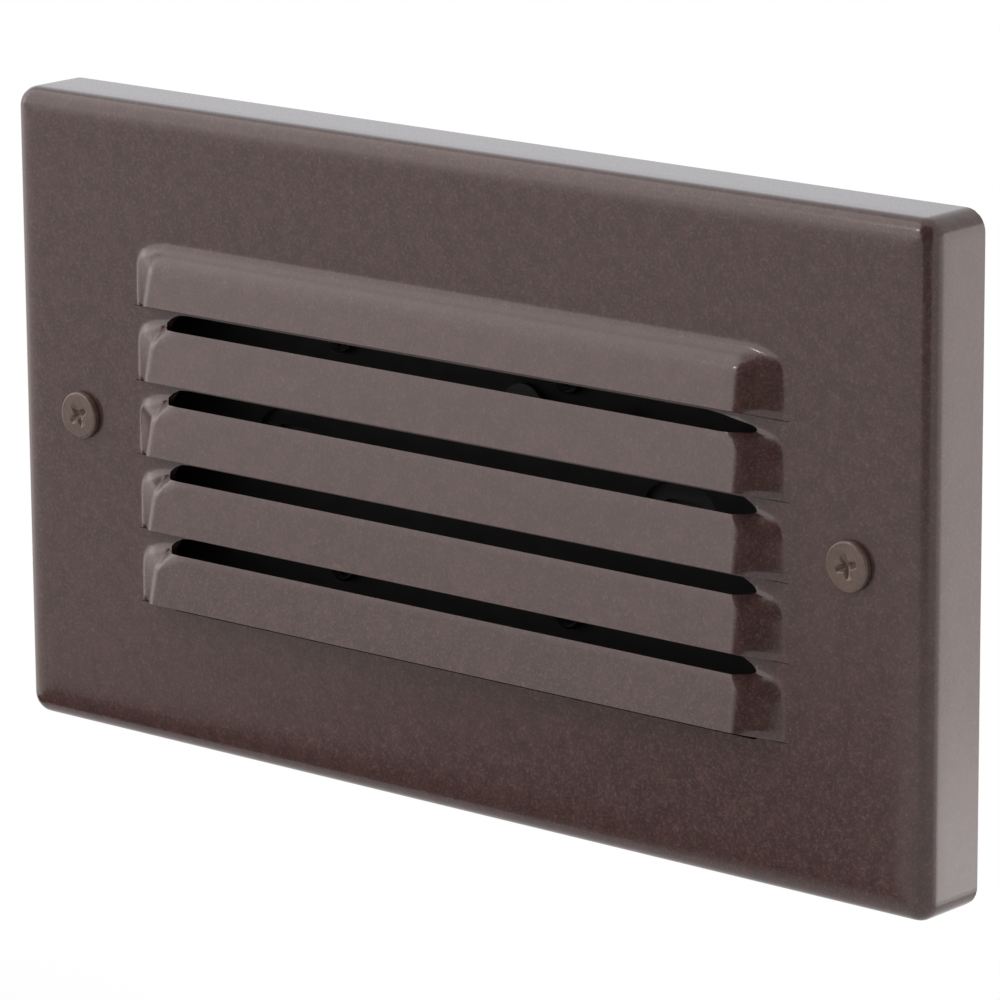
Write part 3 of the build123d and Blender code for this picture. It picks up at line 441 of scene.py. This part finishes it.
def add(tree, kind, inputs, **settings):
    """Adds a node, sets its properties, and fills its inputs.

    An input takes a value, a hex colour, a socket, or a node whose first output is linked.
    """
    made = tree.nodes.new(kind)
    for key, value in settings.items():
        setattr(made, key, value)
    for key, value in inputs.items():
        if isinstance(value, bpy.types.Node):
            value = value.outputs[0]
        if isinstance(value, bpy.types.NodeSocket):
            tree.links.new(value, made.inputs[key])
        else:
            made.inputs[key].default_value = linear(value) if isinstance(value, str) else value
    return made


def blank(name):
    """A new material, its empty node tree, and the object's own coordinates in it."""
    material = bpy.data.materials.new(name)
    material.use_nodes = True
    tree = material.node_tree
    tree.nodes.clear()
    return material, tree, add(tree, "ShaderNodeTexCoord", {}).outputs["Object"]


def per(size):
    """Scale of a pattern whose features are about size millimetres across."""
    return 1 / (size * MM)


# A noise pattern lies mostly between these two values.
MIDDLE = {"From Min": 0.35, "From Max": 0.65}


def grained(name, dark, light, size, rough, grain, depth, metal=0.0,
            stretch=(1, 1, 1), cellular=False, **more):
    """A material that drifts between two colours, with a fine grain in its relief.

    size is that of the drift and grain that of the relief, in millimetres, and depth
    is how deep the relief goes. rough is the pair of roughness values that the drift
    moves between. A pattern is drawn out along an axis where stretch is below one, and
    cellular grain is pitted like foam or spark-eroded tooling. Plating, oxide and moulded
    skins have a finer grain than this, and theirs is drawn coarser so that it shows.
    """
    material, tree, seat = blank(name)
    where = add(tree, "ShaderNodeMapping", {"Vector": seat, "Scale": stretch})
    drift = add(tree, "ShaderNodeTexNoise", {"Vector": where, "Scale": per(size), "Detail": 3.0})
    share = add(tree, "ShaderNodeMapRange", {"Value": drift, **MIDDLE})
    colour = add(tree, "ShaderNodeMix", {0: share, 6: dark, 7: light}, data_type="RGBA")
    if cellular:
        fine = add(tree, "ShaderNodeTexVoronoi", {"Vector": where, "Scale": per(grain)})
    else:
        fine = add(tree, "ShaderNodeTexNoise", {"Vector": where, "Scale": per(grain), "Detail": 2.0})
    inputs = {
        "Base Color": colour.outputs[2],
        "Roughness": add(tree, "ShaderNodeMapRange",
                         {"Value": share, "To Min": rough[0], "To Max": rough[1]}),
        "Metallic": metal,
        "Normal": add(tree, "ShaderNodeBump", {"Height": fine, "Distance": depth * MM, "Strength": 1.0}),
    }
    inputs.update({key.replace("_", " "): value for key, value in more.items()})
    shader = add(tree, "ShaderNodeBsdfPrincipled", inputs)
    add(tree, "ShaderNodeOutputMaterial", {"Surface": shader})
    return material


def bronze_coat(name, ground, warm, sheen):
    """Satin bronze powder coat on sheet steel: a dark brown ground under fine warm and pale flecks.

    The powder melts to a slightly wavy skin, which breaks up its soft reflections. The
    flecks are drawn coarser than the real ones, so that they show.
    """
    material, tree, where = blank(name)
    mottle, fleck, spark, wave = (
        add(tree, "ShaderNodeTexNoise",
            {"Vector": where, "Scale": per(size), "Detail": detail, "Roughness": harshness})
        for size, detail, harshness in (
            (3.2, 3.0, 0.6), (0.42, 2.0, 0.65), (0.8, 3.0, 0.7), (1.6, 1.0, 0.5)))
    colour = ground
    for pattern, start, stop, most, tint in (
            (mottle, 0.38, 0.62, 1.0, warm),
            (fleck, 0.5, 0.75, 0.14, "#9A7368"),
            (spark, 0.55, 0.75, 0.12, "#8E7F7A")):
        share = add(tree, "ShaderNodeMapRange",
                    {"Value": pattern, "From Min": start, "From Max": stop, "To Max": most})
        colour = add(tree, "ShaderNodeMix", {0: share, 6: colour, 7: tint}, data_type="RGBA").outputs[2]
    shader = add(tree, "ShaderNodeBsdfPrincipled", {
        "Base Color": colour,
        "Roughness": add(tree, "ShaderNodeMapRange",
                         {"Value": fleck, **MIDDLE, "To Min": sheen - 0.03, "To Max": sheen + 0.05}),
        "IOR": 1.5,
        "Normal": add(tree, "ShaderNodeBump", {"Height": wave, "Distance": 0.009 * MM, "Strength": 1.0}),
    })
    add(tree, "ShaderNodeOutputMaterial", {"Surface": shader})
    return material


def frosted_lens(name):
    """Frosted polycarbonate strip: light passes through it, scattered by its etched skin.

    The etching is drawn 0.25 mm across, coarser than the real one, so that it shows.
    """
    material, tree, where = blank(name)
    etch = add(tree, "ShaderNodeTexNoise", {"Vector": where, "Scale": per(0.25), "Detail": 2.0})
    share = add(tree, "ShaderNodeMapRange", {"Value": etch, **MIDDLE})
    tint = add(tree, "ShaderNodeMix", {0: share, 6: "#E3E6E4", 7: "#F4F6F4"}, data_type="RGBA")
    shader = add(tree, "ShaderNodeBsdfPrincipled", {
        "Base Color": tint.outputs[2],
        "Roughness": add(tree, "ShaderNodeMapRange", {"Value": share, "To Min": 0.38, "To Max": 0.52}),
        "IOR": 1.58,
        "Transmission Weight": 0.9,
        "Normal": add(tree, "ShaderNodeBump", {"Height": etch, "Distance": 0.01 * MM, "Strength": 1.0}),
    })
    add(tree, "ShaderNodeOutputMaterial", {"Surface": shader})
    return material


def circuit_board(name, mask, trace):
    """Glass-fibre board under solder mask, with traces that show through it over a faint weave.

    The traces are the joints of bricks 5.5 mm long and 2.1 mm high. The weave is 0.6 mm wide and
    drawn out upwards.
    """
    material, tree, where = blank(name)
    laid = add(tree, "ShaderNodeMapping", {"Vector": where, "Rotation": (math.pi / 2, 0, 0)})
    run = add(tree, "ShaderNodeTexBrick", {
        "Vector": laid, "Scale": per(4.2), "Mortar Size": 0.06, "Mortar Smooth": 0.1,
        "Brick Width": 1.3, "Row Height": 0.5,
    }, offset=0.37)
    share = add(tree, "ShaderNodeMapRange", {"Value": run.outputs["Fac"], "To Max": 0.7})
    colour = add(tree, "ShaderNodeMix", {0: share, 6: mask, 7: trace}, data_type="RGBA")
    drawn = add(tree, "ShaderNodeMapping", {"Vector": where, "Scale": (1, 1, 0.15)})
    threads = add(tree, "ShaderNodeTexNoise", {"Vector": drawn, "Scale": per(0.6), "Detail": 1.0})
    shader = add(tree, "ShaderNodeBsdfPrincipled", {
        "Base Color": colour.outputs[2],
        "Roughness": add(tree, "ShaderNodeMapRange",
                         {"Value": threads, **MIDDLE, "To Min": 0.25, "To Max": 0.4}),
        "Normal": add(tree, "ShaderNodeBump", {"Height": threads, "Distance": 0.01 * MM, "Strength": 1.0}),
        "Coat Weight": 0.3,
    })
    add(tree, "ShaderNodeOutputMaterial", {"Surface": shader})
    return material


MATERIALS = {
    # Powder coat on sheet steel: dark satin brown with a soft, slightly broken sheen.
    "bronze_faceplate": bronze_coat("bronze_powder_coat", "#3B2B29", "#43302E", 0.2),
    # The same coat on the screws: a little paler, with a slightly duller sheen.
    "bronze_screw": bronze_coat("bronze_powder_coat_screw", "#4E3F38", "#594840", 0.22),
    # Moulded nylon: an even black with a dull, faintly grained skin.
    "nylon_black": grained("moulded_nylon_black", "#121213", "#1B1B1D", size=2.0, rough=(0.42, 0.55),
                           grain=0.3, depth=0.008),
    # Closed-cell foam rubber: matt charcoal, pitted all over with small cells.
    "foam_rubber": grained("closed_cell_foam_rubber", "#17181A", "#26272A", size=1.4, rough=(0.8, 0.95),
                           grain=0.55, depth=0.12, cellular=True),
    # Black zinc plate on rolled steel: dark metal with a faint grain along the roll.
    "zinc_black_steel": grained("black_zinc_plated_steel", "#1D1E20", "#34363A", size=6.0, rough=(0.32, 0.48),
                                grain=0.5, depth=0.006, metal=0.85, stretch=(0.2, 1, 1)),
    # Phosphated spring steel: grey metal with a cloudy, crystalline skin.
    "spring_steel": grained("phosphated_spring_steel", "#3A3C3F", "#565A5E", size=1.8, rough=(0.3, 0.45),
                            grain=0.3, depth=0.006, metal=1.0),
    # Green passivated steel: the bright, uneven green of a ground screw.
    "green_zinc": grained("green_passivated_steel", "#2E6B3A", "#5F9A52", size=0.9, rough=(0.25, 0.4),
                          grain=0.3, depth=0.005, metal=0.9),
    # Matt black paint with nearly no gloss. Its colour is drawn far darker than real paint: painted shade, so
    # that the slots look as dark as the shaded cavity behind them.
    "black_paint": grained("black_matt_paint_and_painted_shade", "#0A0909", "#0F0D0D", size=4.0, rough=(0.6, 0.75),
                           grain=0.8, depth=0.01, Specular_IOR_Level=0.2),
    # Moulded seal rubber: soft black with a broad, dull sheen.
    "seal_rubber": grained("moulded_seal_rubber", "#141516", "#202123", size=2.0, rough=(0.6, 0.78),
                           grain=0.4, depth=0.02),
    # Black anodised extrusion: satin black with die lines along its length.
    "black_anodised": grained("black_anodised_extrusion", "#17181A", "#24262A", size=1.2, rough=(0.3, 0.42),
                              grain=0.35, depth=0.006, metal=0.7, stretch=(0.04, 1, 1)),
    # Black oxide on steel: oily near-black metal with small glints.
    "black_oxide": grained("black_oxide_steel", "#151517", "#232327", size=0.8, rough=(0.28, 0.42),
                           grain=0.25, depth=0.006, metal=0.95),
    # Filled silicone: chalky grey, soft-looking and matt.
    "silicone_grey": grained("filled_silicone_pad", "#7C8288", "#9299A0", size=1.5, rough=(0.7, 0.85),
                             grain=0.3, depth=0.03),
    # White solder mask on glass fibre: smooth off-white with faint grey traces.
    "white_board": circuit_board("white_solder_mask", "#E9EAE6", "#D6D8D2"),
    # Phosphor gel: mustard yellow grains under a clear, wet-looking skin.
    "phosphor_yellow": grained("led_phosphor_gel", "#D9A93A", "#E8BF55", size=0.5, rough=(0.2, 0.35),
                               grain=0.2, depth=0.01, cellular=True, Coat_Weight=0.5),
    # Moulded nylon: warm white with a dull, faintly grained skin.
    "connector_white": grained("moulded_nylon_white", "#D9D8D0", "#E8E7E0", size=2.0, rough=(0.35, 0.5),
                               grain=0.3, depth=0.008),
    # Etched polycarbonate: milky and soft, and what lies behind it blurs.
    "frosted_clear": frosted_lens("frosted_polycarbonate"),
    # Extruded PVC insulation: plain grey or black with a soft, waxy gloss.
    "lead_grey": grained("pvc_insulation_grey", "#6B6E72", "#7C7F83", size=3.0, rough=(0.4, 0.52),
                         grain=0.4, depth=0.012),
    "lead_black": grained("pvc_insulation_black", "#141416", "#1F1F22", size=3.0, rough=(0.38, 0.5),
                          grain=0.4, depth=0.012),
    # Moulded ABS: even black with the fine pitting of spark-eroded tooling.
    "case_black": grained("spark_textured_abs", "#1A1B1D", "#1F2023", size=9.0, rough=(0.55, 0.6),
                          grain=0.45, depth=0.03, cellular=True),
    # Green solder mask on glass fibre: glossy green with paler traces under it.
    "board_green": circuit_board("green_solder_mask", "#155A35", "#2E7C4E"),
    # Bright zinc plate: pale silvery metal with small cloudy patches.
    "zinc_bright": grained("bright_zinc_plated_steel", "#A9ACAF", "#C9CCCF", size=0.9, rough=(0.2, 0.34),
                           grain=0.3, depth=0.005, metal=1.0),
    # Moulded polyamide: plain mid grey with a dull skin.
    "terminal_grey": grained("moulded_polyamide_grey", "#7D8288", "#8D9298", size=2.0, rough=(0.4, 0.52),
                             grain=0.3, depth=0.01),
    # Polyester tape: glossy yellow, wound in bands with a slight ripple.
    "ferrite_tape": grained("polyester_tape_yellow", "#C79A2A", "#DDB447", size=2.2, rough=(0.25, 0.36),
                            grain=0.7, depth=0.02, stretch=(1, 1, 0.3), Coat_Weight=0.3),
    # Shrunk PVC sleeve: smooth, glossy dark blue.
    "electrolytic_sleeve": grained("pvc_sleeve_dark", "#1C2230", "#2A3346", size=2.5, rough=(0.25, 0.36),
                                   grain=0.6, depth=0.012),
    # Epoxy-filled box: plain yellow with a half-gloss skin.
    "film_yellow": grained("epoxy_box_yellow", "#C9A23B", "#D8B455", size=1.8, rough=(0.3, 0.42),
                           grain=0.3, depth=0.01),
    # Sintered ferrite: dull grey, gritty like fired clay.
    "ferrite_grey": grained("sintered_ferrite", "#3A3B3E", "#4C4E52", size=0.8, rough=(0.55, 0.7),
                            grain=0.25, depth=0.02, cellular=True),
    # Moulded epoxy: near-black or brown with a dry, sandy skin.
    "chip_black": grained("moulded_epoxy", "#17171A", "#232327", size=0.8, rough=(0.5, 0.64),
                          grain=0.2, depth=0.01),
    "fuse_brown": grained("moulded_epoxy_brown", "#4A2E22", "#5B3B2C", size=1.2, rough=(0.35, 0.48),
                          grain=0.25, depth=0.01),
}

# The material slot of each node, as the record states it.
SLOT_OF = {
    "faceplate": "bronze_faceplate",
    "left_cover_screw": "bronze_screw",
    "right_cover_screw": "bronze_screw",
    "left_retaining_washer": "nylon_black",
    "right_retaining_washer": "nylon_black",
    "wall_gasket": "foam_rubber",
    "mounting_frame": "zinc_black_steel",
    "cover_clip_nuts": "spring_steel",
    "ground_screw": "green_zinc",
    "light_tray": "black_paint",
    "tray_seal": "seal_rubber",
    "lamp_channel": "black_anodised",
    "channel_end_caps": "nylon_black",
    "channel_screws": "black_oxide",
    "assembly_screws": "black_oxide",
    "thermal_pad": "silicone_grey",
    "led_strip_board": "white_board",
    "led_chips": "phosphor_yellow",
    "strip_connector": "connector_white",
    "lens": "frosted_clear",
    "positive_lead": "lead_grey",
    "negative_lead": "lead_black",
    "lead_clips": "nylon_black",
    "lead_grommet": "seal_rubber",
    "driver_lid": "case_black",
    "driver_case": "case_black",
    "driver_board": "board_green",
    "board_screws": "zinc_bright",
    "terminal_block": "terminal_grey",
    "output_connector": "connector_white",
    "driver_transformer": "ferrite_tape",
    "driver_electrolytics": "electrolytic_sleeve",
    "driver_film_capacitor": "film_yellow",
    "driver_choke": "ferrite_grey",
    "driver_rectifier": "chip_black",
    "driver_controller": "chip_black",
    "driver_fuse": "fuse_brown",
}

for node_name, slot_name in SLOT_OF.items():
    node = NODES[node_name]
    node.data.materials.clear()
    node.data.materials.append(MATERIALS[slot_name])


# ------------------------------------------------------------ faceplate
plate = mesh_object("louvred_faceplate", *plate_surface(), MATERIALS["bronze_faceplate"])
thick = plate.modifiers.new("sheet", "SOLIDIFY")
thick.thickness = SHEET * MM
thick.offset = -1
thick.use_even_offset = True
soft = plate.modifiers.new("cut_edges", "BEVEL")
soft.width = CUT_EDGE * MM
soft.segments = 2
soft.limit_method = "ANGLE"
soft.angle_limit = math.radians(50)
soft.harden_normals = True
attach(plate, "faceplate")
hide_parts("faceplate")

# ---------------------------------------------------------- cover screws
for side in ("left", "right"):
    screw = mesh_object(f"{side}_pan_head_screw", *screw_surface(side), MATERIALS["bronze_screw"])
    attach(screw, f"{side}_cover_screw")
    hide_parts(f"{side}_cover_screw")


# ---------------------------------------------------------------- stage
# Lengths on the stage are in metres and angles in degrees.
def direction(azimuth, elevation):
    """Unit vector from the object towards an azimuth, from the front towards +X, and an elevation."""
    a, e = math.radians(azimuth), math.radians(elevation)
    return Vector((math.sin(a) * math.cos(e), -math.cos(a) * math.cos(e), math.sin(e)))


def softbox(name, azimuth, elevation, distance, width, height, level, colour="#FFFFFF"):
    """An area light that faces the object; level is its brightness as a share of white."""
    lamp = bpy.data.lights.new(name, "AREA")
    lamp.shape = "RECTANGLE"
    lamp.size = width
    lamp.size_y = height
    lamp.energy = level * math.pi * width * height
    lamp.color = linear(colour)[:3]
    made = bpy.data.objects.new(name, lamp)
    made.location = direction(azimuth, elevation) * distance
    made.rotation_euler = direction(azimuth, elevation).to_track_quat("Z", "Y").to_euler()
    made.visible_camera = False
    bpy.context.scene.collection.objects.link(made)


def photo_camera(azimuth, elevation, roll, distance, focal, target):
    """The photograph's camera, placed by its direction, roll and distance from a target."""
    back = direction(azimuth, elevation)
    level = Vector((math.cos(math.radians(azimuth)), math.sin(math.radians(azimuth)), 0))
    above = back.cross(level)
    turn = math.radians(roll)
    right = math.cos(turn) * level + math.sin(turn) * above
    up = math.cos(turn) * above - math.sin(turn) * level
    data = bpy.data.cameras.new("photo_camera")
    data.sensor_width = 36
    data.lens = focal
    made = bpy.data.objects.new("photo_camera", data)
    stand = Matrix.Translation(target + back * distance)
    made.matrix_world = stand @ Matrix((right, up, back)).transposed().to_4x4()
    bpy.context.scene.collection.objects.link(made)
    bpy.context.scene.camera = made


def see_white(tree):
    """1 for the rays of the camera, gloss and glass, which see plain white, and 0 for the rays that light."""
    path = add(tree, "ShaderNodeLightPath", {}).outputs
    seen = path["Is Camera Ray"]
    for ray in ("Is Glossy Ray", "Is Transmission Ray"):
        seen = add(tree, "ShaderNodeMath", {0: seen, 1: path[ray]}, operation="MAXIMUM").outputs[0]
    return seen


def studio_floor(height, size, near, clear_from, clear_to):
    """A pale floor that holds the shadow about its near point and turns white further out."""
    mesh = bpy.data.meshes.new("studio_floor")
    half = size / 2
    corners = [(x * half, y * half, height) for x, y in ((-1, -1), (1, -1), (1, 1), (-1, 1))]
    mesh.from_pydata(corners, [], [(0, 1, 2, 3)])
    made = bpy.data.objects.new("studio_floor", mesh)
    bpy.context.scene.collection.objects.link(made)
    material, tree, where = blank("pale_floor")
    mesh.materials.append(material)
    matt = add(tree, "ShaderNodeBsdfDiffuse", {"Color": "#E6E6E6"})
    white = add(tree, "ShaderNodeEmission", {"Color": "#FFFFFF", "Strength": 1.0})
    level = add(tree, "ShaderNodeMapping", {"Vector": where, "Scale": (1, 1, 0)})
    out = add(tree, "ShaderNodeVectorMath", {0: level, 1: near}, operation="DISTANCE").outputs["Value"]
    far = add(tree, "ShaderNodeMapRange", {"Value": out, "From Min": clear_from, "From Max": clear_to})
    share = add(tree, "ShaderNodeMath", {0: far, 1: see_white(tree)}, operation="MULTIPLY")
    mixed = add(tree, "ShaderNodeMixShader", {0: share, 1: matt, 2: white})
    add(tree, "ShaderNodeOutputMaterial", {"Surface": mixed})


def dark_card(azimuth, elevation, distance, width, height):
    """A dark card that faces the object and darkens what it reflects; the camera looks through it."""
    mesh = bpy.data.meshes.new("dark_card")
    side = Vector((math.cos(math.radians(azimuth)), math.sin(math.radians(azimuth)), 0))
    out = direction(azimuth, elevation)
    above = out.cross(side)
    corners = [out * distance + side * s * width / 2 + above * t * height / 2
               for s, t in ((-1, -1), (1, -1), (1, 1), (-1, 1))]
    mesh.from_pydata([tuple(c) for c in corners], [], [(0, 1, 2, 3)])
    made = bpy.data.objects.new("dark_card", mesh)
    bpy.context.scene.collection.objects.link(made)
    material, tree, _ = blank("dark_felt")
    mesh.materials.append(material)
    felt = add(tree, "ShaderNodeBsdfDiffuse", {"Color": "#2A2A2A"})
    add(tree, "ShaderNodeOutputMaterial", {"Surface": felt})
    made.visible_camera = False
    made.visible_diffuse = False


world = bpy.data.worlds.new("soft_grey")
world.use_nodes = True
bpy.context.scene.world = world
sky = world.node_tree
sky.nodes.clear()
dim = add(sky, "ShaderNodeBackground", {"Color": "#FFFFFF", "Strength": 0.65})
bright = add(sky, "ShaderNodeBackground", {"Color": "#FFFFFF", "Strength": 1.0})
both = add(sky, "ShaderNodeMixShader", {0: see_white(sky), 1: dim, 2: bright})
add(sky, "ShaderNodeOutputWorld", {"Surface": both})

studio_floor(height=-0.35, size=16.0, near=(-0.62, -0.56, 0), clear_from=0.35, clear_to=1.1)
dark_card(azimuth=27, elevation=31, distance=0.8, width=1.0, height=1.55)
dark_card(azimuth=-60, elevation=-33.5, distance=0.6, width=0.68, height=0.28)
softbox("front_left_box", azimuth=-50, elevation=34, distance=1.3,
        width=1.9, height=1.6, level=1.45, colour="#FFF2EF")
softbox("right_back_box", azimuth=139, elevation=-2, distance=0.8,
        width=0.6, height=0.62, level=1.8, colour="#FFF2EF")
softbox("right_back_low_box", azimuth=139, elevation=-25, distance=0.55,
        width=0.5, height=0.14, level=1.5)
softbox("back_left_box", azimuth=240, elevation=22, distance=1.4,
        width=1.4, height=0.7, level=0.4, colour="#E2ECFF")
softbox("small_key", azimuth=-27, elevation=42, distance=0.7,
        width=0.05, height=0.05, level=60.0, colour="#FFF3E0")
softbox("left_low_box", azimuth=-76, elevation=-8, distance=0.9,
        width=0.4, height=0.8, level=0.9, colour="#FFF2EF")
softbox("right_side_box", azimuth=106, elevation=-2, distance=0.8,
        width=0.34, height=0.62, level=0.8, colour="#FFF2EF")

# Fitted to points of the outline, louvres and screws in the photograph.
photo_camera(azimuth=40.78, elevation=13.74, roll=-0.42, distance=0.96917, focal=213.972,
             target=Vector((0.000148, 0, -0.004818)))

bpy.context.scene.view_settings.view_transform = "Standard"
